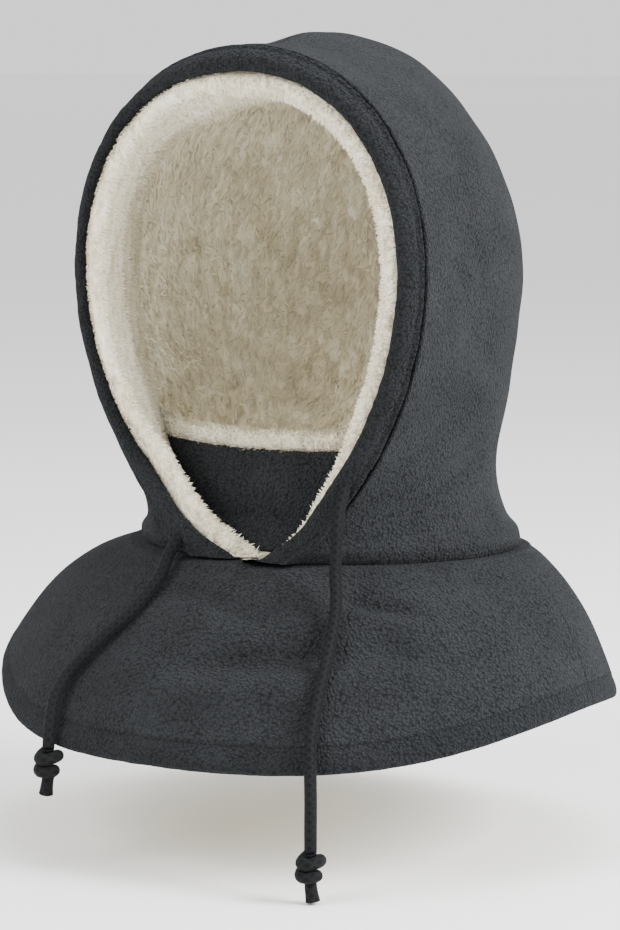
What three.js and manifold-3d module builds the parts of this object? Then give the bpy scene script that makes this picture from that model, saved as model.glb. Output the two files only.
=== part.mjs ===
import * as THREE from 'three';
import { LoftGeometry } from 'three/addons/geometries/LoftGeometry.js';
import { mergeVertices } from 'three/addons/utils/BufferGeometryUtils.js';
import Module from 'manifold-3d';

// A winter balaclava: a loose fleece hood lined with plush, with a drawcord hem round the face, a chin guard
// inside the opening and a cape over the shoulders. Millimetres. The face looks along -Y, the wearer's left
// is +X, and the crown of the head bears on the lining at the origin.

// Cloths
const fleece = 2.5;
const hoodPlush = 8;
const capePlush = 5;
const clothGap = 0.3;

// Hood, outside of the fleece
const hoodHeight = 300;
const hoodDepth = 207;
const neckHalfWidth = 116;
const neckHalfDepth = 105;
const roofStart = 50;

// Face opening, along the seam between the hem and the hood
const rimTopDrop = 7;
const rimHalfWidth = 115;
const rimY = -98;
const rimFootSet = 8;
const roofSetBack = 26;
const roofSpread = 0.25;

// Drawcord hem: a strip of fleece folded round the cord
const hemWidth = 14;
const hemCloth = 2;
const hemTurn = THREE.MathUtils.degToRad(38);
const cordDiameter = 7;
const cordClearance = 0.3;

// Facing: the plush turned round the opening
const facingDepth = 48;
const facingPlush = 11;
const facingRoll = 5;
const rollGap = 1.2;
const hemClearance = 0.4;

// Chin guard
const guardFoot = 9;
const guardTop = 64;
const guardSag = 8;
const guardSetBack = 26;
const guardSideReach = 40;
const guardSideGap = 1.9;
const guardPlush = 5;
const guardRoll = 9;

// Cape, outside of the fleece
const capeHalfWidth = 189;
const capeMiddleY = -34;
const capeFrontReach = 160;
const capeBackReach = 172;
const capeSideDrop = 66;
const capeFrontDrop = 103;
const capeBackDrop = 104;
const capeHemWidth = 12;
const capeLength = 130;

// Neck tape
const tapeWidth = 14;
const tapeCloth = 1.5;

const crownWall = fleece + clothGap + hoodPlush + clothGap;
const neckZ = crownWall - hoodHeight;
const shellInside = fleece + clothGap;
const hemThickness = cordDiameter + 2 * (cordClearance + hemCloth);
const rimHeight = hoodHeight - rimTopDrop;
const neckY = rimY - rimFootSet + neckHalfDepth;

const { PI, sin, cos, atan2, sqrt, max, min } = Math;
const vec = (x, y, z) => new THREE.Vector3(x, y, z);
const mix = THREE.MathUtils.lerp;

// Solids

const wasm = await Module();
wasm.setup();

function toManifold(geometry) {
  const bare = new THREE.BufferGeometry();
  bare.setAttribute('position', geometry.attributes.position);
  bare.setIndex(geometry.index);
  const merged = mergeVertices(bare, 1e-4);
  return new wasm.Manifold(new wasm.Mesh({
    numProp: 3,
    vertProperties: new Float32Array(merged.attributes.position.array),
    triVerts: new Uint32Array(merged.index.array),
  }));
}

function toGeometry(solid) {
  const mesh = solid.getMesh();
  const geometry = new THREE.BufferGeometry();
  geometry.setAttribute('position', new THREE.BufferAttribute(mesh.vertProperties, 3));
  geometry.setIndex(new THREE.BufferAttribute(mesh.triVerts, 1));
  return geometry;
}

function signedVolume(geometry) {
  const { position } = geometry.attributes;
  const corner = (i) => vec().fromBufferAttribute(position, geometry.index.getX(i));
  let volume = 0;
  for (let i = 0; i < geometry.index.count; i += 3) {
    volume += corner(i).dot(corner(i + 1).cross(corner(i + 2)));
  }
  return volume;
}

// A closed solid through rings of points, with its faces out whichever way the rings run. From column
// turnFrom on, each quad is cut along its other diagonal, so that the two faces of a cloth are cut alike and
// layers that lie on each other stay parallel.
function loft(rings, turnFrom = Infinity) {
  const build = (list) => new LoftGeometry(list, { capStart: true, capEnd: true });
  let geometry = build(rings);
  if (signedVolume(geometry) < 0) geometry = build([...rings].reverse());
  const { index } = geometry;
  const count = rings[0].length;
  for (let quad = 0; quad < (rings.length - 1) * count; quad += 1) {
    if (quad % count >= turnFrom) {
      const [a, b, d, , c] = index.array.slice(6 * quad, 6 * quad + 6);
      [a, b, c, a, c, d].forEach((corner, i) => index.setX(6 * quad + i, corner));
    }
  }
  return geometry;
}

const mirrorRings = (rings) => rings.map((ring) => ring.map((p) => vec(-p.x, p.y, p.z)));
const steps = (count) => Array.from({ length: count + 1 }, (_, i) => i / count);

// Hood surface. t runs from the neck seam (0) to the centre line of the roof (1). The angle runs round the
// head from the front (0) to the back (PI).

const rimRise = (t) => sin(t * PI / 2);
const rimZ = (t) => neckZ + rimHeight * rimRise(t);

function rimX(t) {
  const fromTop = 1 - rimRise(t);
  return rimHalfWidth * 2 * sqrt(fromTop * (1 - fromTop)) * (1.12 - 0.26 * fromTop);
}

// The centre seam: up the nape, over the crown and forward along the roof, as shares of depth and height.
const seamCurve = new THREE.CatmullRomCurve3([
  [0.96, 0], [0.87, 0.12], [0.93, 0.28], [1, 0.48], [0.985, 0.66], [0.91, 0.835], [0.75, 0.955], [0.5, 1],
  [roofStart / hoodDepth, 0.99],
].map(([y, z]) => vec(0, rimY + y * hoodDepth, neckZ + z * hoodHeight)));

// The hood stands wider than its rim: by the neck's width at the seam, and by a little at the roof.
function spreadX(t) {
  const rise = rimRise(t);
  return neckHalfWidth * (1 - rise) ** 3 + roofSpread * rimX(t) * rise ** 2;
}

// The angle round the head at which a row of the hood starts, at the rim.
const rimAngle = (t) => (t > 0.999 ? atan2(1, roofSpread) : atan2(rimX(t), spreadX(t)));

function hoodPoint(angle, t) {
  const halfWidth = sqrt(rimX(t) ** 2 + spreadX(t) ** 2);
  const middleY = mix(neckY, rimY + roofSetBack, t ** 2);
  if (angle > PI / 2) {
    const seam = seamCurve.getPointAt(min(t, 1));
    const back = cos(angle) ** 2;
    return vec(halfWidth * sin(angle), mix(middleY, seam.y, -cos(angle)), mix(rimZ(t), seam.z, back));
  }
  const front = (middleY - rimY + rimFootSet * (1 - rimRise(t)) ** 4) / cos(rimAngle(t));
  return vec(halfWidth * sin(angle), middleY - front * cos(angle), rimZ(t));
}

// At the neck seam the cloth's thickness lies level, so that hood and cape meet edge to edge.
function levelled(normal, share) {
  const level = vec(normal.x, normal.y, 0).normalize();
  return normal.lerp(level, max(0, share)).normalize();
}

function hoodNormal(angle, t) {
  if (t > 0.985) return vec(0, 0, 1);
  const d = 1e-3;
  const a = min(max(angle, d), PI - d);
  const b = max(t, d);
  const across = hoodPoint(a + d, b).sub(hoodPoint(a - d, b));
  const up = hoodPoint(a, b + d).sub(hoodPoint(a, b - d));
  const normal = across.cross(up).normalize();
  if (angle < 2 * d || angle > PI - 2 * d) normal.setX(0).normalize();
  return levelled(normal, 1 - t / 0.06);
}

// A point of the hood, share s of the way from the rim to the centre seam, depth mm inside the fleece's face.
function hoodLayer(s, t, depth) {
  const angle = mix(rimAngle(t), PI, s);
  const point = hoodPoint(angle, t).addScaledVector(hoodNormal(angle, t), -depth);
  point.x = max(point.x, 0) + clothGap / 2;
  return point;
}

// Rim frame: n leaves the hood's face, b runs along the face away from the opening.
function rimFrame(t) {
  const angle = rimAngle(t);
  const n = hoodNormal(angle, t);
  const d = 1e-3;
  const at = (q) => hoodPoint(rimAngle(q), q);
  const along = at(min(t + d, 1)).sub(at(max(t - d, 0))).normalize();
  const b = along.clone().cross(n).normalize();
  const origin = at(t);
  origin.x += clothGap / 2;
  return { origin, n, b, along };
}

// Rows stand closer together at the chin, where the opening turns fastest.
const rowCount = 18;
const rows = steps(rowCount).map((k) => k ** 1.5);

// Share s at a distance from the rim, measured round the row.
function shareAt(t, distance) {
  let walked = 0;
  let last = hoodLayer(0, t, 0);
  for (const s of steps(160).slice(1)) {
    const next = hoodLayer(s, t, 0);
    walked += next.distanceTo(last);
    if (walked >= distance) return s;
    last = next;
  }
  return 1;
}

// Every layer of the hood uses the same columns, so that layers lie parallel.
const hemJoin = 3;
const facingBack = 2;
const backColumns = 9;

function columns(t) {
  const front = [hemJoin, facingDepth / 3, facingDepth * 2 / 3, facingDepth];
  const liningStart = shareAt(t, facingDepth + facingBack);
  return [
    ...front.map((distance) => shareAt(t, distance)),
    ...steps(backColumns).map((k) => mix(liningStart, 1, k)),
  ];
}

function slabRing(t, shares, outside, inside) {
  return [
    ...shares.map((s) => hoodLayer(s, t, outside)),
    ...[...shares].reverse().map((s) => hoodLayer(s, t, inside)),
  ];
}

const shellRings = rows.map((t) => slabRing(t, columns(t), 0, fleece));
const liningRings = rows.map((t) => slabRing(t, columns(t).slice(4), shellInside, shellInside + hoodPlush));
const shellTurn = shellRings[0].length / 2;
const liningTurn = liningRings[0].length / 2;

// The hem's section, in its own axes: d from the seam towards the opening, m out of its face.
function hemAxes(t) {
  const { origin, n, b, along } = rimFrame(t);
  const d = b.clone().multiplyScalar(-cos(hemTurn)).addScaledVector(n, -sin(hemTurn));
  const m = n.clone().multiplyScalar(cos(hemTurn)).addScaledVector(b, -sin(hemTurn));
  return { origin, d, m, along };
}

function onHem({ origin, d, m }, u, w) {
  const point = origin.clone().addScaledVector(d, u).addScaledVector(m, w);
  point.x = max(point.x, clothGap / 2);
  return point;
}

function hemRing(t) {
  const axes = hemAxes(t);
  const half = hemThickness / 2;
  const bend = (radius, from, to) => steps(5).map((k) => {
    const angle = mix(from, to, k);
    return [hemWidth - half + radius * cos(angle), -half + radius * sin(angle)];
  });
  const section = [
    [0.3, -hemCloth / 2], [hemCloth, 0], ...bend(half, PI / 2, -PI / 2), [hemCloth, -hemThickness],
    [0.3, hemCloth / 2 - hemThickness], [hemCloth, hemCloth - hemThickness],
    ...bend(half - hemCloth, -PI / 2, PI / 2), [hemCloth, -hemCloth],
  ];
  return section.map(([u, w]) => onHem(axes, u, w));
}

const hemRings = rows.map(hemRing);

// The facing lies on the inside of the hood and rolls forward inside the hem.
function facingRing(t) {
  const axes = hemAxes(t);
  const inward = hemThickness + rollGap;
  const shares = columns(t).slice(1, 4);
  const thick = [facingPlush + 2, facingPlush, hoodPlush];
  const roll = [
    [6, -inward - facingRoll * 1.6], [hemWidth - 4, -inward - facingRoll * 1.3],
    [hemWidth, -inward - facingRoll * 0.6], [hemWidth - 2, -inward], [4, -inward],
  ];
  return [
    ...shares.map((s) => hoodLayer(s, t, shellInside)),
    ...shares.map((s, i) => hoodLayer(s, t, shellInside + thick[i])).reverse(),
    ...roll.map(([u, w]) => onHem(axes, u, w)),
  ];
}

const facingRings = rows.map(facingRing);

// The room that the hem takes up inside the facing, carried back past the seam.
const hemRoomBack = 6;

function hemRoomRing(t) {
  const axes = hemAxes(t);
  const half = hemThickness / 2;
  const nose = steps(6).map((k) => mix(PI / 2, -PI / 2, k));
  return [
    onHem(axes, -hemRoomBack, hemClearance),
    ...nose.map((angle) => (
      onHem(axes, hemWidth - half + (half + hemClearance) * cos(angle), -half + (half + hemClearance) * sin(angle))
    )),
    onHem(axes, -hemRoomBack, -hemThickness - hemClearance),
  ];
}

// Chin guard: a panel across the inside of the opening, share a of the way from the middle (0) to a side (1)
// and share h of the way up. Its sides lie along the facing.
const riseAt = (height) => Math.asin(height / rimHeight) * 2 / PI;

function guardMiddle(a, h) {
  const t = mix(riseAt(guardFoot), riseAt(guardTop), h);
  const thinning = mix(facingPlush, hoodPlush, 3 * guardSideReach / facingDepth - 2);
  const wall = shellInside + thinning + guardSideGap + (shellInside + guardPlush) / 2;
  const side = hoodLayer(shareAt(t, guardSideReach), t, wall);
  const bow = cos(a * PI / 2);
  return vec(side.x * sin(a * PI / 2), mix(side.y, rimY + guardSetBack, bow), side.z - guardSag * h * bow);
}

function guardPoint(a, h, depth) {
  const d = 1e-3;
  const across = guardMiddle(a + d, h).sub(guardMiddle(a - d, h));
  const up = guardMiddle(a, h + d).sub(guardMiddle(a, h - d));
  const normal = across.cross(up).normalize();
  return guardMiddle(a, h).addScaledVector(normal, (shellInside + guardPlush) / 2 - depth);
}

const guardWidthShare = 0.95;
const guardColumns = steps(14).map((k) => mix(-guardWidthShare, guardWidthShare, k));

function guardSlab(outside, inside) {
  return guardColumns.map((a) => {
    const heights = steps(4);
    return [
      ...heights.map((h) => guardPoint(a, h, outside)),
      ...[...heights].reverse().map((h) => guardPoint(a, h, inside)),
    ];
  });
}

// The plush of the guard rolled over its top edge.
function guardEdgeRing(a) {
  const middle = (fleece + clothGap + guardPlush) / 2;
  return steps(8).slice(0, 8).map((k) => {
    const turn = k * 2 * PI;
    const foot = guardPoint(a, 1, middle + middle * cos(turn));
    foot.z += 0.8 + guardRoll / 2 * (1 + sin(turn));
    return foot;
  });
}

// Cape surface: the angle runs round the neck from the front, r from the neck seam (0) to the edge (1).
function capePoint(angle, r) {
  const facingFront = cos(angle) > 0;
  const lobe = cos(angle) ** 2;
  const neckReach = facingFront ? neckHalfDepth : seamCurve.getPointAt(0).y - neckY;
  const edgeReach = facingFront ? capeFrontReach : capeBackReach;
  const ends = 1 - (1 - lobe) ** 3;
  const drop = mix(capeSideDrop, facingFront ? capeFrontDrop : capeBackDrop, ends);
  const shoulder = mix(0.95, 0.7, lobe);
  const out = sin(r * shoulder) / sin(shoulder);
  const down = mix(r, (1 - cos(r * shoulder)) / (1 - cos(shoulder)), mix(0.9, 0.5, ends));
  const x = mix(neckHalfWidth, capeHalfWidth, out) * sin(angle);
  const y = mix(neckY, capeMiddleY, out) - mix(neckReach, edgeReach, out) * cos(angle);
  return vec(x, y, neckZ - clothGap - drop * down);
}

// At the side seams the thickness lies in the seam's own plane, so that front and back meet flat.
const sideSlope = (capeMiddleY - neckY) / (capeHalfWidth - neckHalfWidth);

function capeLayer(angle, r, depth) {
  const d = 1e-3;
  const around = capePoint(angle + d, r).sub(capePoint(angle - d, r));
  const outward = capePoint(angle, r + d).sub(capePoint(angle, r - d));
  const normal = levelled(outward.cross(around).normalize(), 1 - 6 * r);
  if (Math.abs(cos(angle)) < 0.01) normal.setY(sideSlope * Math.abs(normal.x)).normalize();
  return capePoint(angle, r).addScaledVector(normal, -depth);
}

const sideSeam = PI / 2 - clothGap / 2 / neckHalfWidth;
const capeTurns = (middle) => steps(24).map((k) => middle + mix(-sideSeam, sideSeam, k));
const capeHemShare = 1 - capeHemWidth / capeLength;
const hemSeamShare = clothGap / capeLength;

function capeSlab(middle, outside, inside) {
  return capeTurns(middle).map((angle) => {
    const shares = steps(5).map((k) => k * (capeHemShare - hemSeamShare));
    return [
      ...shares.map((r) => capeLayer(angle, r, outside)),
      ...[...shares].reverse().map((r) => capeLayer(angle, r, inside)),
    ];
  });
}

function capeHem(middle) {
  const thickness = shellInside + capePlush;
  return capeTurns(middle).map((angle) => [
    capeLayer(angle, capeHemShare, 0),
    capeLayer(angle, 0.985, 0),
    capeLayer(angle, 1, thickness * 0.25),
    capeLayer(angle, 1, thickness * 0.75),
    capeLayer(angle, 0.985, thickness),
    capeLayer(angle, capeHemShare, thickness),
  ]);
}

// The tape covers the neck seam on the inside, a closed band under the edge of the hood's lining.
function neckTape() {
  const depth = shellInside + capePlush + clothGap;
  const top = neckZ - 2 * clothGap;
  const rings = steps(36).map((k) => {
    const ring = (d, z) => capeLayer(k * 2 * PI, 0, d).setZ(z);
    return [
      ring(depth, top), ring(depth + tapeCloth, top),
      ring(depth + tapeCloth, top - tapeWidth), ring(depth, top - tapeWidth),
    ];
  });
  return new LoftGeometry(rings.reverse());
}

// Drawcord. One cord: a run inside the hem and a free end at each side, which leaves the tunnel through an
// opening in the hem and lies down over the cape. The lists give the line on which each end rests, with
// heights from the neck seam: its middle stands a radius in front of that line and above it. Each end
// is tied in an overhand knot and cut.
const leftExitRow = 4;
const rightExitRow = 2;
const knotHalfLength = 8;
const knotRadius = 9;
const knotGap = 0.5;
const holeClearance = 0.6;
const cordSides = 8;

const cordRadius = cordDiameter / 2;
const fromNeck = (list) => list.map(([x, y, z]) => [x, y - cordRadius, neckZ + z + cordRadius]);
const leftRoute = fromNeck([
  [67, -96.5, 47.4], [68, -102.5, 39.9], [69, -109, 32.4], [70, -113.5, 22.4], [70.5, -115.5, 9.4],
  [71, -117.5, -3.6], [74, -121.5, -16.6], [77, -129.5, -30.6], [80, -142.5, -47.6], [83, -158.5, -68.6],
  [86, -170.5, -86.6], [89, -176.5, -102.6], [91.5, -180.5, -118.6], [92, -181.5, -132.6], [92, -181.5, -146.3],
]);
const rightRoute = fromNeck([
  [-38, -94.5, 16.4], [-39.5, -99.5, 10.9], [-41, -105, 5.4], [-43, -110.5, -1.6], [-43, -118.5, -11.6],
  [-46, -129.5, -22.6], [-52, -139.5, -33.6], [-62, -147.5, -44.6], [-73, -154.5, -57.6], [-81, -160.5, -68.6],
  [-83, -169.5, -79.6], [-81, -177, -91.6], [-80, -180.5, -100.6], [-80, -181, -106.6],
]);
const leftTail = fromNeck([[92, -181.5, -163.6], [92.2, -181.5, -167.6], [93.5, -181.5, -173.6]]);
const rightTail = fromNeck([[-80, -181, -123.9], [-80.2, -181, -127.6], [-82, -181, -133.6]]);

function cordTube(points, count, diameter = cordDiameter) {
  const corner = (k) => new THREE.Vector2(cos(k * 2 * PI), sin(k * 2 * PI)).multiplyScalar(diameter / 2);
  const section = new THREE.Shape(steps(cordSides).slice(0, cordSides).map(corner));
  const extrudePath = new THREE.CatmullRomCurve3(points.map(([x, y, z]) => vec(x, y, z)));
  return new THREE.ExtrudeGeometry(section, { steps: count, bevelEnabled: false, extrudePath });
}

function runRing(t) {
  const axes = hemAxes(t);
  return steps(cordSides).slice(0, cordSides).map((k) => {
    const turn = k * 2 * PI;
    const radius = cordDiameter / 2;
    return onHem(axes, hemWidth - hemThickness / 2 + radius * cos(turn), radius * sin(turn) - hemThickness / 2);
  });
}

function knot([x, y, z]) {
  const profile = [
    [0, -1], [0.45, -1], [0.9, -0.55], [1, 0], [0.9, 0.55], [0.45, 1], [0, 1],
  ].map(([radius, height]) => new THREE.Vector2(radius * knotRadius, height * knotHalfLength));
  const geometry = new THREE.LatheGeometry(profile, 14);
  geometry.rotateX(PI / 2);
  geometry.translate(x, y, z - knotGap - knotHalfLength);
  return geometry;
}

const runRings = [
  ...rows.slice(leftExitRow).map(runRing),
  ...mirrorRings(rows.slice(rightExitRow).map(runRing)).reverse(),
];

// Pieces that the hem and the cords cut into.
const same = (rings) => rings;
const floorSize = 260;
const floorDepth = 40;
const floorRoom = new THREE.BoxGeometry(floorSize, floorSize, floorDepth);
floorRoom.translate(0, rimY, neckZ - floorDepth / 2);
const floorSolid = toManifold(floorRoom);
const holeDiameter = cordDiameter + 2 * holeClearance;
const holes = {
  left: toManifold(cordTube(leftRoute.slice(0, 5), 8, holeDiameter)),
  right: toManifold(cordTube(rightRoute.slice(0, 5), 8, holeDiameter)),
};

function cutPiece(rings, turnFrom, side, tools) {
  let solid = toManifold(loft(side(rings), turnFrom));
  tools.forEach((tool) => { solid = solid.subtract(tool); });
  return toGeometry(solid);
}

const hemRoom = (side) => toManifold(loft(side(rows.map(hemRoomRing))));

const pieces = new THREE.Group();

function add(name, geometry, color, roughness = 0.95) {
  const material = new THREE.MeshStandardMaterial({ color, roughness, metalness: 0 });
  const mesh = new THREE.Mesh(geometry, material);
  mesh.name = name;
  pieces.add(mesh);
  return mesh;
}

const charcoal = 0x3b3e42;
const cream = 0xe0d7c4;
const black = 0x1b1c1e;

add('shell_left', cutPiece(shellRings, shellTurn, same, [holes.left]), charcoal);
add('shell_right', cutPiece(shellRings, shellTurn, mirrorRings, [holes.right]), charcoal);
add('lining_left', loft(liningRings, liningTurn), cream);
add('lining_right', loft(mirrorRings(liningRings), liningTurn), cream);
add('facing_left', cutPiece(facingRings, 3, same, [hemRoom(same), floorSolid, holes.left]), cream);
add('facing_right', cutPiece(facingRings, 3, mirrorRings, [hemRoom(mirrorRings), floorSolid, holes.right]), cream);
add('hem_left', cutPiece(hemRings, Infinity, same, [holes.left, floorSolid]), charcoal);
add('hem_right', cutPiece(hemRings, Infinity, mirrorRings, [holes.right, floorSolid]), charcoal);
add('drawcord_run', loft(runRings), black, 0.8);
add('drawcord_left', cordTube(leftRoute, 16), black, 0.8);
add('drawcord_right', cordTube(rightRoute, 12), black, 0.8);
add('knot_left', knot(leftRoute.at(-1)), black, 0.8);
add('knot_right', knot(rightRoute.at(-1)), black, 0.8);
add('tail_left', cordTube(leftTail, 2), black, 0.8);
add('tail_right', cordTube(rightTail, 2), black, 0.8);
add('guard_shell', loft(guardSlab(0, fleece), 5), charcoal);
add('guard_lining', loft(guardSlab(shellInside, shellInside + guardPlush), 5), cream);
add('guard_edge', loft(guardColumns.map(guardEdgeRing)), cream);
add('cape_front', loft(capeSlab(0, 0, fleece), 6), charcoal);
add('cape_back', loft(capeSlab(PI, 0, fleece), 6), charcoal);
add('cape_lining_front', loft(capeSlab(0, shellInside, shellInside + capePlush), 6), cream);
add('cape_lining_back', loft(capeSlab(PI, shellInside, shellInside + capePlush), 6), cream);
add('cape_hem_front', loft(capeHem(0)), charcoal);
add('cape_hem_back', loft(capeHem(PI)), charcoal);

add('neck_tape', neckTape(), charcoal);

export default pieces;
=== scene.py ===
"""A winter balaclava: fleece hood, plush lining, drawcord hem, chin guard and shoulder cape."""
import math

import bmesh
import bpy
import numpy as np
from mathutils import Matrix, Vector, noise


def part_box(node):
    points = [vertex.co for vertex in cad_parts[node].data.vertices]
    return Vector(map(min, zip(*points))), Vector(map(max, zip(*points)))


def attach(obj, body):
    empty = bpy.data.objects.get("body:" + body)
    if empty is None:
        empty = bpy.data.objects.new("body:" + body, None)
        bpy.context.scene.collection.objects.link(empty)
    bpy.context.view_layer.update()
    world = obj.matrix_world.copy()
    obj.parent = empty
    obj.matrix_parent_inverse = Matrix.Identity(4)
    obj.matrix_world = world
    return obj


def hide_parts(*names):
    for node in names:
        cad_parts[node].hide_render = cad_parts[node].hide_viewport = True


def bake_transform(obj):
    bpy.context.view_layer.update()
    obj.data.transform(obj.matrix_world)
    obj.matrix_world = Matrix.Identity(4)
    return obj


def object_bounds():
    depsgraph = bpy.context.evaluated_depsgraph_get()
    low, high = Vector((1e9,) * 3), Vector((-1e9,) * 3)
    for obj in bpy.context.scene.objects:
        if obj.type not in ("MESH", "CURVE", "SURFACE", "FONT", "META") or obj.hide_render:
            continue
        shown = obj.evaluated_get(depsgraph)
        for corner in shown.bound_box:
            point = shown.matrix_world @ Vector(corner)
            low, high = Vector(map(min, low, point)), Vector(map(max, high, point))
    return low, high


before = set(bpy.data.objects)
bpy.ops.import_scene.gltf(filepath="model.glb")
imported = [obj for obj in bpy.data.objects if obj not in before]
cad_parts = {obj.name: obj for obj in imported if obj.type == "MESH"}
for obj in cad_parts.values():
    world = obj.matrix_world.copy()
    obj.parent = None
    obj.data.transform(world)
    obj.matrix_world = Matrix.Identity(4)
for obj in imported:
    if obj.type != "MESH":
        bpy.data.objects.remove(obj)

cad_low, cad_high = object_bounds()

# ------------------------------------------------------------------------------------------------
# Camera: eye level a little above the chin, round to the wearer's left of the face.
# ------------------------------------------------------------------------------------------------
target = Vector((0, 0, -0.190))
turn, height = math.radians(30), math.radians(7)
back = Vector((math.sin(turn) * math.cos(height), -math.cos(turn) * math.cos(height), math.sin(height)))
right = Vector((math.cos(turn), math.sin(turn), 0))
up = back.cross(right)
aim = target - 0.0131 * right - 0.0548 * up
camera_data = bpy.data.cameras.new("camera")
camera_data.lens = 130
camera_data.sensor_width = 36
camera = bpy.data.objects.new("camera", camera_data)
camera.location = aim + 2.0 * back
camera.rotation_euler = (aim - camera.location).to_track_quat("-Z", "Y").to_euler()
bpy.context.collection.objects.link(camera)
bpy.context.scene.camera = camera

# ------------------------------------------------------------------------------------------------
# Hood shell: two panels of charcoal polar fleece, 2.5 mm, joined by a seam that runs up the nape,
# over the crown and forward along the roof. The front edges are sewn into the drawcord hem.
# ------------------------------------------------------------------------------------------------
fleece_thickness = 0.0025
shell_low, shell_high = (np.array(corner) * 1000 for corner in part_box("shell_left"))
neck_z = shell_low[2]
hood_height = shell_high[2] - shell_low[2]
hood_depth, neck_half_width, neck_half_depth, roof_start = 207, 116, 105, 50
rim_height, rim_half_width, rim_y = 293, 115, -98
rim_foot_set, roof_set_back, roof_spread, layer_gap = 8, 26, 0.25, 0.3
neck_y = rim_y - rim_foot_set + neck_half_depth


def smooth_path(points, count):
    """Points evenly spaced along a smooth curve through the given ones."""
    p = np.asarray(points, float)
    p = np.vstack([2 * p[0] - p[1], p, 2 * p[-1] - p[-2]])
    fine = []
    for i in range(1, len(p) - 2):
        gaps = [math.sqrt(np.linalg.norm(p[i + k] - p[i + k - 1])) for k in (0, 1, 2)]
        into = (p[i] - p[i - 1]) / gaps[0] - (p[i + 1] - p[i - 1]) / (gaps[0] + gaps[1])
        into = (into + (p[i + 1] - p[i]) / gaps[1]) * gaps[1]
        out = (p[i + 1] - p[i]) / gaps[1] - (p[i + 2] - p[i]) / (gaps[1] + gaps[2])
        out = (out + (p[i + 2] - p[i + 1]) / gaps[2]) * gaps[1]
        u = np.linspace(0, 1, 24, endpoint=False)[:, None]
        fine.append((2 * u**3 - 3 * u**2 + 1) * p[i] + (u**3 - 2 * u**2 + u) * into
                    + (3 * u**2 - 2 * u**3) * p[i + 1] + (u**3 - u**2) * out)
    fine = np.vstack([*fine, p[-2:-1]])
    walked = np.concatenate([[0], np.cumsum(np.linalg.norm(np.diff(fine, axis=0), axis=1))])
    at = np.linspace(0, walked[-1], count)
    return np.stack([np.interp(at, walked, fine[:, k]) for k in range(3)], axis=1)


seam_shares = [(0.96, 0), (0.87, 0.12), (0.93, 0.28), (1, 0.48), (0.985, 0.66), (0.91, 0.835),
               (0.75, 0.955), (0.5, 1), (roof_start / hood_depth, 0.99)]
seam_points = [(0, rim_y + y * hood_depth, neck_z + z * hood_height) for y, z in seam_shares]
centre_seam = smooth_path(seam_points, 800)


def rim_rise(t):
    return np.sin(t * math.pi / 2)


def rim_x(t):
    from_top = 1 - rim_rise(t)
    return rim_half_width * 2 * np.sqrt(from_top * (1 - from_top)) * (1.12 - 0.26 * from_top)


def spread_x(t):
    return neck_half_width * (1 - rim_rise(t)) ** 3 + roof_spread * rim_x(t) * rim_rise(t) ** 2


def rim_angle(t):
    top = t > 0.999
    return np.arctan2(np.where(top, 1, rim_x(t)), np.where(top, roof_spread, spread_x(t)))


def mix(a, b, share):
    return a + (b - a) * share


def hood_point(angle, t):
    """The hood's outer face in mm, at an angle round the head from the front and t up from the neck."""
    angle, t = np.broadcast_arrays(np.asarray(angle, float), np.asarray(t, float))
    t = np.clip(t, 0, 1)
    half = np.sqrt(rim_x(t) ** 2 + spread_x(t) ** 2)
    middle = mix(neck_y, rim_y + roof_set_back, t**2)
    rim_z = neck_z + rim_height * rim_rise(t)
    at = t * (len(centre_seam) - 1)
    seam_y = np.interp(at, np.arange(len(centre_seam)), centre_seam[:, 1])
    seam_z = np.interp(at, np.arange(len(centre_seam)), centre_seam[:, 2])
    behind = angle > math.pi / 2
    front = (middle - rim_y + rim_foot_set * (1 - rim_rise(t)) ** 4) / np.cos(rim_angle(t))
    y = np.where(behind, mix(middle, seam_y, -np.cos(angle)), middle - front * np.cos(angle))
    z = np.where(behind, mix(rim_z, seam_z, np.cos(angle) ** 2), rim_z)
    return np.stack([half * np.sin(angle), y, z], axis=-1)


def unit(v):
    return v / np.maximum(np.linalg.norm(v, axis=-1, keepdims=True), 1e-12)


def hood_normal(angle, t):
    angle, t = np.broadcast_arrays(np.asarray(angle, float), np.asarray(t, float))
    d = 1e-3
    a, b = np.clip(angle, d, math.pi - d), np.maximum(t, d)
    across = hood_point(a + d, b) - hood_point(a - d, b)
    upward = hood_point(a, b + d) - hood_point(a, b - d)
    normal = unit(np.cross(across, upward))
    edge = (angle < 2 * d) | (angle > math.pi - 2 * d)
    normal[..., 0] = np.where(edge, 0, normal[..., 0])
    level = unit(normal * (1, 1, 0))
    share = np.clip(1 - t / 0.06, 0, 1)[..., None]
    normal = unit(mix(unit(normal), level, share))
    return np.where((t > 0.985)[..., None], (0.0, 0.0, 1.0), normal)


def hood_layer(s, t, depth):
    """Points a depth inside the fleece's face, share s of the way from the rim to the centre seam."""
    angle = mix(rim_angle(np.asarray(t, float)), math.pi, np.asarray(s, float))
    point = hood_point(angle, t) - np.asarray(depth, float)[..., None] * hood_normal(angle, t)
    point[..., 0] = np.maximum(point[..., 0], 0) + layer_gap / 2
    return point


def share_at(t, distance):
    """The share s at each distance from the rim, in mm, for one row."""
    s = np.linspace(0, 1, 161)
    line = hood_layer(s, np.full_like(s, t), np.zeros_like(s))
    walked = np.concatenate([[0], np.cumsum(np.linalg.norm(np.diff(line, axis=0), axis=1))])
    return np.interp(distance, walked, s), walked[-1]


def ripple(points, size, seed):
    """Smooth noise over points in mm, about -1 to 1, with lumps of that size."""
    offset = Vector((seed * 17.3, seed * 5.1, seed * 9.7))
    values = [noise.noise(Vector(p) / size + offset) for p in points.reshape(-1, 3)]
    return np.array(values).reshape(points.shape[:-1])


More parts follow.
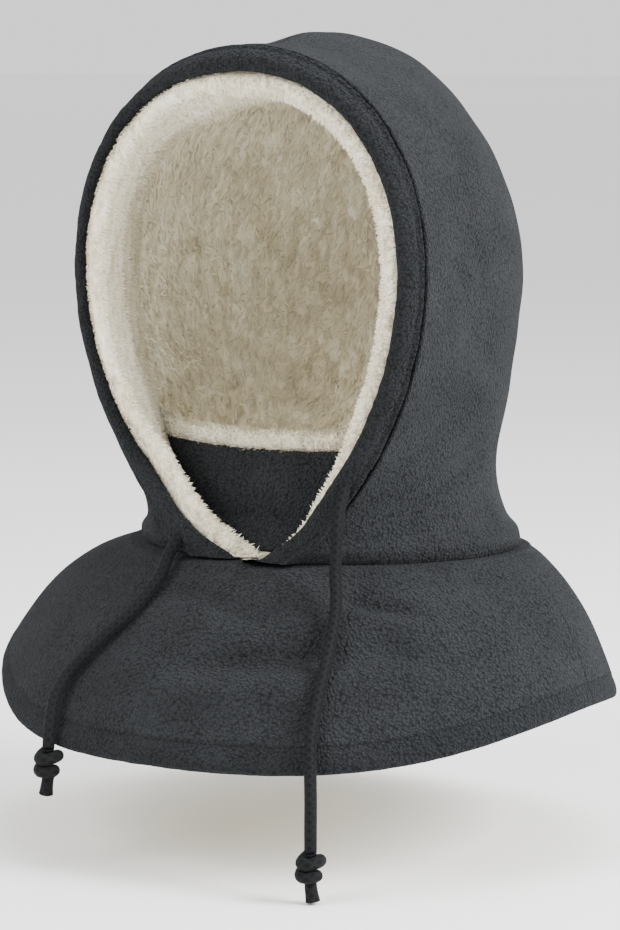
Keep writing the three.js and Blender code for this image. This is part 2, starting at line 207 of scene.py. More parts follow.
def along_fold(points, line, width):
    """How near each point lies to a fold's line in mm, from 1 on it to 0 away from it."""
    line = smooth_path(line, 40)
    flat = points.reshape(-1, 3)
    near = np.full(len(flat), 1e9)
    end = np.zeros(len(flat))
    for i, p in enumerate(line):
        gap = np.linalg.norm(flat - p, axis=1)
        end = np.where(gap < near, min(i, len(line) - 1 - i) / 14, end)
        near = np.minimum(near, gap)
    return (np.exp(-((near / width) ** 2)) * np.clip(end, 0.0, 1)).reshape(points.shape[:-1])


hood_folds = [
    ([(100, 23, -222), (104, -5, -229), (102, -28, -236), (96, -54, -247), (87, -73, -255),
      (70, -91, -266)], 6, -4.2),
    ([(106, 30, -236), (107, -8, -242), (104, -30, -250), (97, -56, -260), (86, -76, -268)], 10, 1.8),
    ([(104, -50, -280), (115, -3, -280), (117, 15, -280), (112, 60, -280)], 9, 2.2),
    ([(113, -89, -97), (114, -72, -106), (116, -57, -121), (116, -47, -139)], 7, -2.6),
    ([(112, -74, -88), (116, -40, -112), (116, -26, -136)], 8, -2.2),
    ([(114, -64, -150), (113, -26, -167), (109, 8, -190)], 9, -2.0),
    ([(97, -86, -213), (103, -56, -208), (107, -15, -198)], 8, -2.2),
    ([(-66, -92, -262), (-62, -92, -276), (-52, -97, -288)], 4, -2.4),
    ([(-108, -20, -215), (-104, -50, -232), (-92, -74, -250)], 8, -3.2),
    ([(20, 95, -180), (60, 80, -200), (95, 50, -205)], 10, -2.8),
    ([(-30, 92, -225), (-62, 74, -215), (-94, 46, -210)], 10, -3.0),
    ([(-100, 60, -262), (-60, 92, -270), (0, 104, -268), (60, 92, -266), (100, 60, -262)], 9, 3.0),
]


def shader(name):
    """A new material with a Principled shader, and a maker of nodes in it."""
    material = bpy.data.materials.new(name)
    material.use_nodes = True
    tree = material.node_tree
    principled = tree.nodes["Principled BSDF"]
    return material, principled, node_maker(tree)


def node_maker(tree):
    def node(kind, links=(), **settings):
        made = tree.nodes.new(kind)
        for key, value in settings.items():
            setattr(made, key, value)
        for socket, value in dict(links).items():
            if isinstance(value, bpy.types.NodeSocket):
                tree.links.new(value, made.inputs[socket])
            else:
                made.inputs[socket].default_value = value
        return made
    return node


def fleece_nap():
    """Brushed fleece: pebbles about a millimetre across, coloured lighter on their tops and darker between
    them as painted highlight and painted shade, and a slow mottling of the dye.
    """
    group = bpy.data.node_groups.new("fleece_nap", "ShaderNodeTree")
    face = group.interface
    face.new_socket("Pebble Scale", in_out="INPUT", socket_type="NodeSocketFloat").default_value = 900
    face.new_socket("Dark", in_out="INPUT", socket_type="NodeSocketColor")
    face.new_socket("Light", in_out="INPUT", socket_type="NodeSocketColor")
    face.new_socket("Color", in_out="OUTPUT", socket_type="NodeSocketColor")
    face.new_socket("Height", in_out="OUTPUT", socket_type="NodeSocketFloat")
    node = node_maker(group)
    given = group.nodes.new("NodeGroupInput").outputs
    place = node("ShaderNodeTexCoord").outputs["Object"]
    warp = node("ShaderNodeTexNoise", {"Vector": place, "Scale": 420.0, "Detail": 2.0}).outputs["Color"]
    shift = (0.0016, 0.0016, 0.0016)
    small = node("ShaderNodeVectorMath", {0: warp, 1: shift}, operation="MULTIPLY").outputs[0]
    bent = node("ShaderNodeVectorMath", {0: place, 1: small}, operation="ADD").outputs[0]
    cells = {"Vector": bent, "Scale": given["Pebble Scale"], "Smoothness": 0.6}
    pebble = node("ShaderNodeTexVoronoi", cells, feature="SMOOTH_F1").outputs["Distance"]
    fibre = node("ShaderNodeTexNoise", {"Vector": place, "Scale": 1900.0, "Detail": 4.0}).outputs["Fac"]
    slow = node("ShaderNodeTexNoise", {"Vector": place, "Scale": 34.0, "Detail": 4.0}).outputs["Fac"]
    dome = {"Value": pebble, "From Min": 0.15, "From Max": 0.85, "To Min": 1.0, "To Max": 0.0}
    round_top = node("ShaderNodeMapRange", dome).outputs[0]
    fine = node("ShaderNodeMath", {0: fibre, 1: 0.55}, operation="MULTIPLY").outputs[0]
    height = node("ShaderNodeMath", {0: round_top, 1: fine}, operation="ADD").outputs[0]
    tone = node("ShaderNodeMath", {0: slow, 1: 0.5, 2: -0.16}, operation="MULTIPLY_ADD").outputs[0]
    # The colour follows the pebbles' height: lighter on their tops and darker in the hollows between them,
    # painted highlight and painted shade.
    share = node("ShaderNodeMath", {0: height, 1: 0.62, 2: tone}, operation="MULTIPLY_ADD",
                 use_clamp=True).outputs[0]
    colour = node("ShaderNodeMix", {"Factor": share, 6: given["Dark"], 7: given["Light"]}, data_type="RGBA")
    out = node("NodeGroupOutput")
    group.links.new(colour.outputs[2], out.inputs["Color"])
    group.links.new(height, out.inputs["Height"])
    return group


nap = fleece_nap()


def fleece(name, dark, light, pebbles=900.0):
    material, principled, node = shader(name)
    cloth = node("ShaderNodeGroup", node_tree=nap)
    cloth.inputs["Pebble Scale"].default_value = pebbles
    cloth.inputs["Dark"].default_value = (*dark, 1)
    cloth.inputs["Light"].default_value = (*light, 1)
    bump = node("ShaderNodeBump", {"Height": cloth.outputs["Height"], "Strength": 1.0, "Distance": 0.0015})
    tree = material.node_tree
    tree.links.new(cloth.outputs["Color"], principled.inputs["Base Color"])
    tree.links.new(bump.outputs[0], principled.inputs["Normal"])
    principled.inputs["Roughness"].default_value = 0.95
    principled.inputs["Specular IOR Level"].default_value = 0.05
    principled.inputs["Sheen Weight"].default_value = 0.035
    principled.inputs["Sheen Roughness"].default_value = 0.45
    principled.inputs["Sheen Tint"].default_value = (0.75, 0.8, 0.86, 1)
    return material


charcoal = fleece("charcoal_fleece", (0.0022, 0.0024, 0.0028), (0.030, 0.032, 0.0345), 640.0)
rows = np.linspace(0, 1, 150) ** 1.5
mirror = np.array((-1, 1, 1))


def new_piece(name, points, faces, body, material, uvs=None, smooth=True):
    """A mesh piece riding on a body. A piece that bends across a joint on the real hood passes body as None
    and rides on no body.
    """
    mesh = bpy.data.meshes.new(name)
    mesh.from_pydata([tuple(p) for p in np.asarray(points)], [], [tuple(map(int, f)) for f in faces])
    if uvs is not None:
        layer = mesh.uv_layers.new(name="UVMap")
        loops = np.empty(len(mesh.loops), np.int32)
        mesh.loops.foreach_get("vertex_index", loops)
        layer.data.foreach_set("uv", np.asarray(uvs, np.float32)[loops].ravel())
    mesh.polygons.foreach_set("use_smooth", [smooth] * len(mesh.polygons))
    mesh.materials.append(material)
    obj = bpy.data.objects.new(name, mesh)
    bpy.context.collection.objects.link(obj)
    if body is not None:
        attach(obj, body)
    return obj


def grid_faces(rows, columns, closed=False, start=0):
    """Quads of a grid whose points run row by row; a closed grid joins its last column to its first."""
    r, c = np.meshgrid(np.arange(rows - 1), np.arange(columns if closed else columns - 1), indexing="ij")
    a = (r * columns + c).ravel() + start
    b = (r * columns + (c + 1) % columns).ravel() + start
    return np.stack([a, b, b + columns, a + columns], axis=1)


def thickened(outer, inner):
    """A closed sheet between two grids of points of the same size."""
    count_r, count_c = outer.shape[:2]
    points = np.vstack([outer.reshape(-1, 3), inner.reshape(-1, 3)])
    faces = list(grid_faces(count_r, count_c))
    faces += list(grid_faces(count_r, count_c, start=count_r * count_c)[:, ::-1])
    edge = [(0, c) for c in range(count_c)]
    edge += [(r, count_c - 1) for r in range(1, count_r)]
    edge += [(count_r - 1, c) for c in range(count_c - 2, -1, -1)]
    edge += [(r, 0) for r in range(count_r - 2, 0, -1)]
    flat = [r * count_c + c for r, c in edge]
    faces += [(a, a + count_r * count_c, b + count_r * count_c, b) for a, b in zip(flat, flat[1:] + flat[:1])]
    return points * 0.001, faces


def facing_out(obj):
    """Turns a closed piece's faces outward."""
    edit = bmesh.new()
    edit.from_mesh(obj.data)
    bmesh.ops.recalc_face_normals(edit, faces=edit.faces)
    edit.to_mesh(obj.data)
    edit.free()
    return obj


shell_columns = 120


def shell_surface():
    points, normals, shares = [], [], []
    for t in rows:
        _, total = share_at(t, 0.0)
        s, _ = share_at(t, np.linspace(3.0, total, shell_columns))
        points.append(hood_layer(s, np.full_like(s, t), np.zeros_like(s)))
        normals.append(hood_normal(mix(rim_angle(np.float64(t)), math.pi, s), np.full_like(s, t)))
        shares.append(s)
    return np.array(points), np.array(normals), np.array(shares)


shell_points, shell_normals, shell_shares = shell_surface()


def drape(points, normals, shares, side):
    """The shell as it hangs: soft swells, the pull of the hem, the dent of the centre seam, and its folds."""
    true = points * (mirror if side == "right" else 1)
    t = rows[:, None]
    calm = np.clip(shares / 0.06, 0, 1) * np.clip(t / 0.05, 0, 1)
    push = 2.2 * ripple(true, 62, 1) * calm + 0.9 * ripple(true, 24, 2) * calm
    push -= 1.6 * np.exp(-(((1 - shares) * 90) ** 2)) * np.clip((1 - t) * 20, 0.3, 1)
    above = true[..., 2] - neck_z
    push += 2.6 * np.exp(-(((above - 8) / 5) ** 2)) - 1.4 * np.exp(-((above / 1.6) ** 2))
    push += 0.8 * ripple(true, 9, 17) * np.exp(-((above / 14) ** 2))
    for line, width, depth in hood_folds:
        push += 1.5 * depth * along_fold(true, line, width)
    return points + push[..., None] * normals


for side, sign in (("left", 1), ("right", mirror)):
    outer = drape(shell_points, shell_normals, shell_shares, side)
    outer[:, -1, 0] = 0.0
    outer = outer * sign
    inner = (shell_points - shell_normals * fleece_thickness * 1000) * sign
    shell = facing_out(new_piece(f"hood_panel_{side}", *thickened(outer, inner), "hood", charcoal))
    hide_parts(f"shell_{side}")

# ------------------------------------------------------------------------------------------------
# Drawcord hem: a strip of the same fleece folded round the cord and topstitched, 14 mm wide. At
# the chin the wearer's left end crosses over the right one.
# ------------------------------------------------------------------------------------------------
hem_width, hem_thickness = 14.0, 11.6


# Below this height the strip leaves the curve of the opening and runs straight down to the neck seam.
chin_height = 45
chin_t = math.asin(chin_height / rim_height) * 2 / math.pi
chin_points = [
    (4, -107.6, -15), (13, -107.6, -10.5), (24, -107.6, -5), (36, -107.4, 2), (46.5, -106.6, 10),
    (56.5, -105.3, 21), (66.0, -103.4, 33.5), (74.8, -102.0, chin_height),
]
chin_line = smooth_path([(x, y, neck_z + z) for x, y, z in chin_points], 200)


def hem_turn(t, side):
    """How far the strip slopes into the opening. The wearer's right stands straighter than the left."""
    steep = math.radians(38)
    if side == "left":
        return np.full((len(t), 1), steep)
    return mix(steep, math.radians(19), np.clip((0.97 - t) / 0.3, 0, 1) ** 0.8)[:, None]


def hem_axes(t, side="left"):
    """The origin at the rim, d towards the opening, m out of the hem's face, and the way along."""
    t = np.asarray(t, float)
    angle = rim_angle(t)
    n = hood_normal(angle, t)
    step = 1e-3
    after, before = np.minimum(t + step, 1), np.maximum(t - step, 0)
    along = unit(hood_point(rim_angle(after), after) - hood_point(rim_angle(before), before))
    origin = hood_point(angle, t) + (layer_gap / 2, 0, 0)
    low = (t < chin_t)[:, None]
    share = np.clip(t / chin_t, 0, 1)
    at = share * (len(chin_line) - 1)
    knots = np.arange(len(chin_line))
    straight = np.stack([np.interp(at, knots, chin_line[:, k]) for k in range(3)], axis=-1)
    step_along = np.gradient(chin_line, axis=0)
    straight_along = unit(np.stack([np.interp(at, knots, step_along[:, k]) for k in range(3)], axis=-1))
    end_normal = hood_normal(rim_angle(np.array([chin_t])), np.array([chin_t]))
    low_normal = unit(mix(np.array((0.12, -1.0, 0.0)), end_normal, share[:, None]))
    origin = np.where(low, straight, origin)
    along = np.where(low, straight_along, along)
    n = np.where(low, low_normal, n)
    b = unit(np.cross(along, n))
    slope = hem_turn(t, side)
    d = -b * np.cos(slope) - n * np.sin(slope)
    m = n * np.cos(slope) - b * np.sin(slope)
    return origin, d, m, along


def on_hem(axes, u, w):
    """Points u across the strip toward the opening and w out of its face, in mm."""
    origin, d, m, _ = axes
    return origin[:, None] + d[:, None] * np.asarray(u)[..., None] + m[:, None] * np.asarray(w)[..., None]


def closed_section(points, count):
    """Evenly spaced points round a smooth closed line through the given ones, for every row."""
    rows_of = []
    for ring in points:
        line = np.vstack([ring[-2:], ring, ring[:3]])
        fine = smooth_path(line, 40 * len(line))
        start = int(np.argmin(np.linalg.norm(fine[: len(fine) // 2] - ring[0], axis=1)))
        half = len(fine) // 2
        finish = half + int(np.argmin(np.linalg.norm(fine[half:] - ring[0], axis=1)))
        loop = fine[start:finish + 1]
        walked = np.concatenate([[0], np.cumsum(np.linalg.norm(np.diff(loop, axis=0), axis=1))])
        at = np.linspace(0, walked[-1], count, endpoint=False)
        rows_of.append(np.stack([np.interp(at, walked, loop[:, k]) for k in range(3)], axis=1))
    return np.array(rows_of)


hem_rows = np.linspace(0.0, 1, 260) ** 1.35
half = hem_thickness / 2
nose_turn = np.linspace(1.35, -1.35, 9)
nose = [(hem_width - half + half * math.cos(a), -half + half * math.sin(a)) for a in nose_turn]
stitched = [(0.4, 0.2), (3.2, -0.9), (5.0, 0.15)]
hem_section = np.array([*stitched, *nose, (4.0, -hem_thickness), (0.4, -hem_thickness)])


def slimmer(t):
    """On the wearer's right the strip is pulled flatter over its cord."""
    return 1 - 0.26 * (np.clip((t - 0.02) / 0.1, 0, 1) * np.clip((0.97 - t) / 0.15, 0, 1))[:, None]


def hem_piece(side):
    axes = hem_axes(hem_rows, side)
    end = np.clip(1 - hem_rows / chin_t, 0, 1)[:, None]
    flat = (1 - 0.42 * end**0.7) * (1 if side == "left" else slimmer(hem_rows))
    points = on_hem(axes, np.tile(hem_section[:, 0], (len(hem_rows), 1)), hem_section[:, 1][None, :] * flat)
    ring = closed_section(points, 40)
    middle = ring.mean(axis=1, keepdims=True)
    outward = unit(ring - middle)
    true = ring * (mirror if side == "right" else 1)
    pucker = 0.35 * ripple(true, 5.5, 3) + 0.55 * ripple(true, 17, 4)
    ring = ring + pucker[..., None] * outward
    # The end is turned in and rounded.
    tip = np.sqrt(np.clip(1 - np.clip((end - 0.86) / 0.14, 0, 1) ** 2, 0.02, 1))[..., None]
    ring = middle + (ring - middle) * tip
    if side == "left":
        # The left end crosses in front of the right one.
        ring[..., 1] -= 6.0 * np.clip(end * 2 - 0.9, 0, 1)
    top = (hem_rows > 0.9)[:, None]
    ring[..., 0] = np.where(top, np.maximum(ring[..., 0], 0.05), ring[..., 0])
    ring[..., 2] = np.maximum(ring[..., 2], neck_z + 0.3)
    return ring * (mirror if side == "right" else 1)


def closed_tube(name, ring, body, material):
    count_r, count_c = ring.shape[:2]
    faces = [tuple(f) for f in grid_faces(count_r, count_c, closed=True)]
    faces += [tuple(range(count_c)), tuple(range((count_r - 1) * count_c, count_r * count_c))]
    return facing_out(new_piece(name, ring.reshape(-1, 3) * 0.001, faces, body, material))


hem_material = fleece("hem_fleece", (0.0018, 0.002, 0.0023), (0.025, 0.0268, 0.029), 700.0)
for side in ("left", "right"):
    hem = closed_tube(f"drawcord_hem_{side}", hem_piece(side), "hood", hem_material)
    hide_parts(f"hem_{side}")

# ------------------------------------------------------------------------------------------------
# Drawcord: 7 mm black cord, round braided cotton, woven tight round a core. It runs in the hem, and
# each end leaves its tunnel at the chin and lies down over the cape to a knot and a cut tail.
# ------------------------------------------------------------------------------------------------
cord_diameter = 0.007
left_route = [
    (67, -100, -238), (68, -106, -245.5), (69, -112.5, -253), (70, -117, -263), (70.5, -119, -276),
    (71, -121, -289), (74, -125, -302), (77, -133, -316), (80, -146, -333), (83, -162, -354),
    (86, -174, -372), (89, -180, -388), (91.5, -184, -404), (92, -185, -418), (92, -185, -431.7),
]
right_route = [
    (-38, -98, -269), (-39.5, -103, -274.5), (-41, -108.5, -280), (-43, -114, -287),
    (-43, -122, -297), (-46, -133, -308), (-52, -143, -319), (-62, -151, -330), (-73, -158, -343),
    (-81, -164, -354), (-83, -173, -365), (-81, -180.5, -377), (-80, -184, -386), (-80, -184.5, -392),
]


def tube(path, radii, sides=14):
    """Points, faces and uvs of a closed tube along a path; v runs in metres along it."""
    path = np.asarray(path)
    radii = np.broadcast_to(radii, len(path))
    tangent = np.gradient(path, axis=0)
    tangent /= np.linalg.norm(tangent, axis=1)[:, None]
    side = np.cross(tangent[0], (0.3, 1, 0.2))
    frames = []
    for t in tangent:
        side = side - t * side.dot(t)
        side = side / np.linalg.norm(side)
        frames.append((side, np.cross(t, side)))
    walked = np.concatenate([[0], np.cumsum(np.linalg.norm(np.diff(path, axis=0), axis=1))])
    angle = np.linspace(0, 2 * math.pi, sides, endpoint=False)
    points, uvs = [], []
    for p, (u, v), radius, far in zip(path, frames, radii, walked):
        points.append(p + (radius * np.cos(angle))[:, None] * u + (radius * np.sin(angle))[:, None] * v)
        uvs.append(np.stack([angle / (2 * math.pi), np.full(sides, far)], axis=1))
    faces = [tuple(f) for f in grid_faces(len(path), sides, closed=True)]
    faces += [tuple(range(sides - 1, -1, -1)), tuple(range((len(path) - 1) * sides, len(path) * sides))]
    return np.vstack(points), faces, np.vstack(uvs)


def ramp(node, factor, stops):
    made = node("ShaderNodeValToRGB", {"Fac": factor})
    made.color_ramp.elements.remove(made.color_ramp.elements[1])
    for i, (position, colour) in enumerate(stops):
        element = made.color_ramp.elements[0] if i == 0 else made.color_ramp.elements.new(position)
        element.position = position
        element.color = (*colour, 1)
    return made.outputs["Color"]


def braided_cord():
    material, principled, node = shader("black_cord")
    uv = node("ShaderNodeUVMap", uv_map="UVMap").outputs["UV"]
    apart = node("ShaderNodeSeparateXYZ", {0: uv})
    strands = []
    for way in (1, -1):
        turns = node("ShaderNodeMath", {0: apart.outputs["X"], 1: 8.0 * way}, operation="MULTIPLY")
        along = node("ShaderNodeMath", {0: apart.outputs["Y"], 1: 420.0}, operation="MULTIPLY")
        total = node("ShaderNodeMath", {0: turns.outputs[0], 1: along.outputs[0]}, operation="ADD")
        wave = node("ShaderNodeMath", {0: total.outputs[0], 1: 1.0}, operation="PINGPONG")
        strands.append(wave.outputs[0])
    braid = node("ShaderNodeMath", {0: strands[0], 1: strands[1]}, operation="MAXIMUM").outputs[0]
    place = node("ShaderNodeTexCoord").outputs["Object"]
    fibre = node("ShaderNodeTexNoise", {"Vector": place, "Scale": 2600.0, "Detail": 3.0}).outputs["Fac"]
    # Darker where the strands dip and lighter on their crowns: painted shade in the braid's grooves.
    colour = ramp(node, braid, [(0.3, (0.0012, 0.0013, 0.0016)), (0.95, (0.0062, 0.0066, 0.0074))])
    height = node("ShaderNodeMath", {0: braid, 1: fibre}, operation="ADD").outputs[0]
    bump = node("ShaderNodeBump", {"Height": height, "Strength": 0.6, "Distance": 0.0006})
    tree = material.node_tree
    tree.links.new(colour, principled.inputs["Base Color"])
    tree.links.new(bump.outputs[0], principled.inputs["Normal"])
    principled.inputs["Roughness"].default_value = 0.7
    principled.inputs["Specular IOR Level"].default_value = 0.12
    principled.inputs["Sheen Weight"].default_value = 0.01
    return material


cord_material = braided_cord()


def cord_piece(name, path, radii, body):
    points, faces, uvs = tube(path, radii)
    return new_piece(name, points, faces, body, cord_material, uvs)


run_rows = np.linspace(0.12, 1, 160)
one_column = np.ones((len(run_rows), 1))
run_line = on_hem(hem_axes(run_rows), (hem_width - half) * one_column, -half * one_column)[:, 0]
run_line = np.vstack([run_line, (run_line * mirror)[::-1][1:]]) * 0.001
cord_run = cord_piece("cord_in_hem", run_line, cord_diameter / 2, "hood")
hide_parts("drawcord_run")


def overhand_knot(end, radius):
    """The path of a tight overhand knot: in from above, twice round, and out below."""
    a = np.linspace(0, 1, 110)
    turns = 2 * math.pi * 1.8 * a + 2.4
    ends = np.clip(np.minimum(a, 1 - a) / 0.16, 0, 1)
    swell = ends * ends * (3 - 2 * ends)
    x = swell * radius * np.cos(turns)
    y = swell * radius * np.sin(turns)
    z = -16.0 * (a + 0.06 * np.sin(2 * math.pi * a)) + 2.6 * swell * np.sin(turns + 0.8)
    return (np.stack([x, y, z], axis=1) + end) * 0.001


# The knot's turns lie this far from its middle in mm, and pulling it tight thins the cord a little.
knot_radius, pulled_radius = 5.4, 0.0034


def cord_end(side, route, tail_end):
    """The free end, its knot and its tail, which leave the tunnel's mouth at the route's third point."""
    body = f"cord_end_{side}"
    path = smooth_path(np.array(route) * 0.001, 130)
    drawn = cord_piece(f"cord_end_{side}", path, cord_diameter / 2, body)
    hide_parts(f"drawcord_{side}")
    end = np.array(route[-1], float)
    knot_path = overhand_knot(end + (0, 0, -layer_gap), knot_radius)
    knot = cord_piece(f"overhand_knot_{side}", knot_path, pulled_radius, body)
    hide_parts(f"knot_{side}")
    top = Vector(knot_path[-1])
    tip = Vector(tail_end) * 0.001
    tail_path = smooth_path([top, top.lerp(tip, 0.35) + Vector((0, -0.0004, 0)), tip], 24)
    fray = pulled_radius + 0.0007 * np.linspace(0, 1, 24) ** 2
    tail = cord_piece(f"cut_tail_{side}", tail_path, fray, body)
    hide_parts(f"tail_{side}")


cord_end("left", left_route, (93.5, -185, -459))
cord_end("right", right_route, (-82, -184.5, -419))

# ------------------------------------------------------------------------------------------------
# Plush facing and lining: cream long-pile plush with the pile inside. The facing is a thick strip
# turned round the opening, the lining two panels behind it that meet at a centre seam.
# ------------------------------------------------------------------------------------------------
shell_inside, hood_plush, facing_plush, facing_depth, roll_gap = 2.8, 8.0, 11.0, 48.0, 1.2


def pile_streaks():
    """Plush pile: locks a few millimetres wide drawn out along the nap, and fine hairs across them. Its
    colour is painted shade low between the locks and painted highlight on their tops, over the cream's own
    slow random tone.
    """
    group = bpy.data.node_groups.new("pile_streaks", "ShaderNodeTree")
    face = group.interface
    face.new_socket("Lock Scale", in_out="INPUT", socket_type="NodeSocketFloat").default_value = 190
    face.new_socket("Deep Shade", in_out="INPUT", socket_type="NodeSocketColor")
    face.new_socket("Middle", in_out="INPUT", socket_type="NodeSocketColor")
    face.new_socket("Tip Highlight", in_out="INPUT", socket_type="NodeSocketColor")
    face.new_socket("Color", in_out="OUTPUT", socket_type="NodeSocketColor")
    face.new_socket("Height", in_out="OUTPUT", socket_type="NodeSocketFloat")
    node = node_maker(group)
    given = group.nodes.new("NodeGroupInput").outputs
    place = node("ShaderNodeTexCoord").outputs["Object"]
    drawn = node("ShaderNodeVectorMath", {0: place, 1: (1.0, 1.0, 0.25)}, operation="MULTIPLY").outputs[0]
    curled = {"Vector": drawn, "Scale": given["Lock Scale"], "Detail": 3.0, "Distortion": 0.6}
    locks = node("ShaderNodeTexNoise", curled).outputs["Fac"]
    hairs = node("ShaderNodeTexNoise", {"Vector": drawn, "Scale": 1500.0, "Detail": 3.0}).outputs["Fac"]
    slow = node("ShaderNodeTexNoise", {"Vector": place, "Scale": 30.0, "Detail": 3.0}).outputs["Fac"]
    height = node("ShaderNodeMath", {0: hairs, 1: 0.35, 2: locks}, operation="MULTIPLY_ADD").outputs[0]
    tone = node("ShaderNodeMath", {0: slow, 1: 0.5, 2: height}, operation="MULTIPLY_ADD").outputs[0]
    share = node("ShaderNodeMapRange", {"Value": tone, "From Min": 0.62, "From Max": 1.2}).outputs[0]
    low = node("ShaderNodeMapRange", {"Value": share, "From Max": 0.5}).outputs[0]
    high = node("ShaderNodeMapRange", {"Value": share, "From Min": 0.5}).outputs[0]
    first = node("ShaderNodeMix", {"Factor": low, 6: given["Deep Shade"], 7: given["Middle"]}, data_type="RGBA")
    second = node("ShaderNodeMix", {"Factor": high, 6: first.outputs[2], 7: given["Tip Highlight"]}, data_type="RGBA")
    out = node("NodeGroupOutput")
    group.links.new(second.outputs[2], out.inputs["Color"])
    group.links.new(height, out.inputs["Height"])
    return group


streaks = pile_streaks()


def plush(name, deep, middle, tip, locks=190.0):
    material, principled, node = shader(name)
    pile = node("ShaderNodeGroup", node_tree=streaks)
    pile.inputs["Lock Scale"].default_value = locks
    # The first and last of the three colours are painted shade low between the locks and painted highlight on
    # their tops; the middle one is the cream's own colour.
    for socket, colour in (("Deep Shade", deep), ("Middle", middle), ("Tip Highlight", tip)):
        pile.inputs[socket].default_value = (*colour, 1)
    bump = node("ShaderNodeBump", {"Height": pile.outputs["Height"], "Strength": 0.7, "Distance": 0.0016})
    tree = material.node_tree
    tree.links.new(pile.outputs["Color"], principled.inputs["Base Color"])
    tree.links.new(bump.outputs[0], principled.inputs["Normal"])
    principled.inputs["Roughness"].default_value = 0.85
    principled.inputs["Specular IOR Level"].default_value = 0.25
    principled.inputs["Sheen Weight"].default_value = 0.35
    principled.inputs["Sheen Roughness"].default_value = 0.5
    return material


cream = plush("cream_plush", (0.55, 0.475, 0.31), (0.77, 0.70, 0.515), (0.91, 0.87, 0.71))
rim_cream = plush("rim_plush", (0.56, 0.49, 0.34), (0.77, 0.71, 0.55), (0.90, 0.86, 0.73), 230.0)
# A darker copy of the cream for the strip behind the facing's roll: painted shade.
shaded_cream = plush("painted_shade_plush", (0.36, 0.31, 0.20), (0.56, 0.50, 0.355), (0.72, 0.67, 0.52))


def tufts(name, roots, normals, combed, length, width, body, material, seed, lift=0.5):
    """Pile drawn as locks: blades that leave the cloth, bend over along the nap and end in a point."""
    rng = np.random.default_rng(seed)
    n = len(roots)
    size = length * rng.uniform(0.65, 1.25, n)[:, None]
    wide = width * rng.uniform(0.7, 1.3, n)[:, None]
    lean = unit(unit(combed) + 0.38 * rng.normal(size=(n, 3)))
    lean = unit(lean - normals * (lean * normals).sum(axis=1)[:, None])
    turned = 0.8 * normals * rng.normal(size=(n, 1))
    across = unit(np.cross(lean, normals) + turned + 0.3 * lean * rng.normal(size=(n, 1)))
    start = roots - 0.25 * size * normals
    middle = roots + 0.64 * lift * size * normals + 0.34 * size * lean
    tip = roots + lift * size * normals + 0.88 * size * lean
    points = np.stack([start - across * wide, start + across * wide, middle - 0.75 * across * wide,
                       middle + 0.75 * across * wide, tip], axis=1).reshape(-1, 3)
    base = np.arange(n)[:, None] * 5
    faces = [tuple(f) for f in np.hstack([base, base + 1, base + 3, base + 2])]
    faces += [tuple(f) for f in np.hstack([base + 2, base + 3, base + 4])]
    return new_piece(name, points * 0.001, faces, body, material)


def scattered(grid, count, seed, keep=None):
    """Points spread evenly by area over a grid, each with its normal and the way along its row."""
    rng = np.random.default_rng(seed)
    a, b, c = grid[:-1, :-1], grid[:-1, 1:], grid[1:, :-1]
    area = np.linalg.norm(np.cross(b - a, c - a), axis=-1)
    if keep is not None:
        area = area * keep[:-1, :-1]
    pick = rng.choice(area.size, count, p=area.ravel() / area.sum())
    r, q = np.unravel_index(pick, area.shape)
    u, v = rng.random((2, count, 1))
    across, along = (b - a)[r, q], (c - a)[r, q]
    return a[r, q] + u * across + v * along, unit(np.cross(across, along)), unit(across)


def away_from(middle, roots, normals):
    """The normals turned so that they point away from the middle line of a roll."""
    nearest = middle[np.linalg.norm(middle[None] - roots[:, None], axis=2).argmin(axis=1)]
    return normals * np.sign((normals * (roots - nearest)).sum(axis=1))[:, None]


facing_rows = np.linspace(0, 1, 170) ** 1.4
facing_sides, roll_sides = 64, 22


def closed_line(grid):
    """Each row of points filled in so that neighbours lie close together."""
    k = np.linspace(0, 1, 8)[None, None, :, None]
    return (grid[:, :-1, None] * (1 - k) + grid[:, 1:, None] * k).reshape(len(grid), -1, 3)


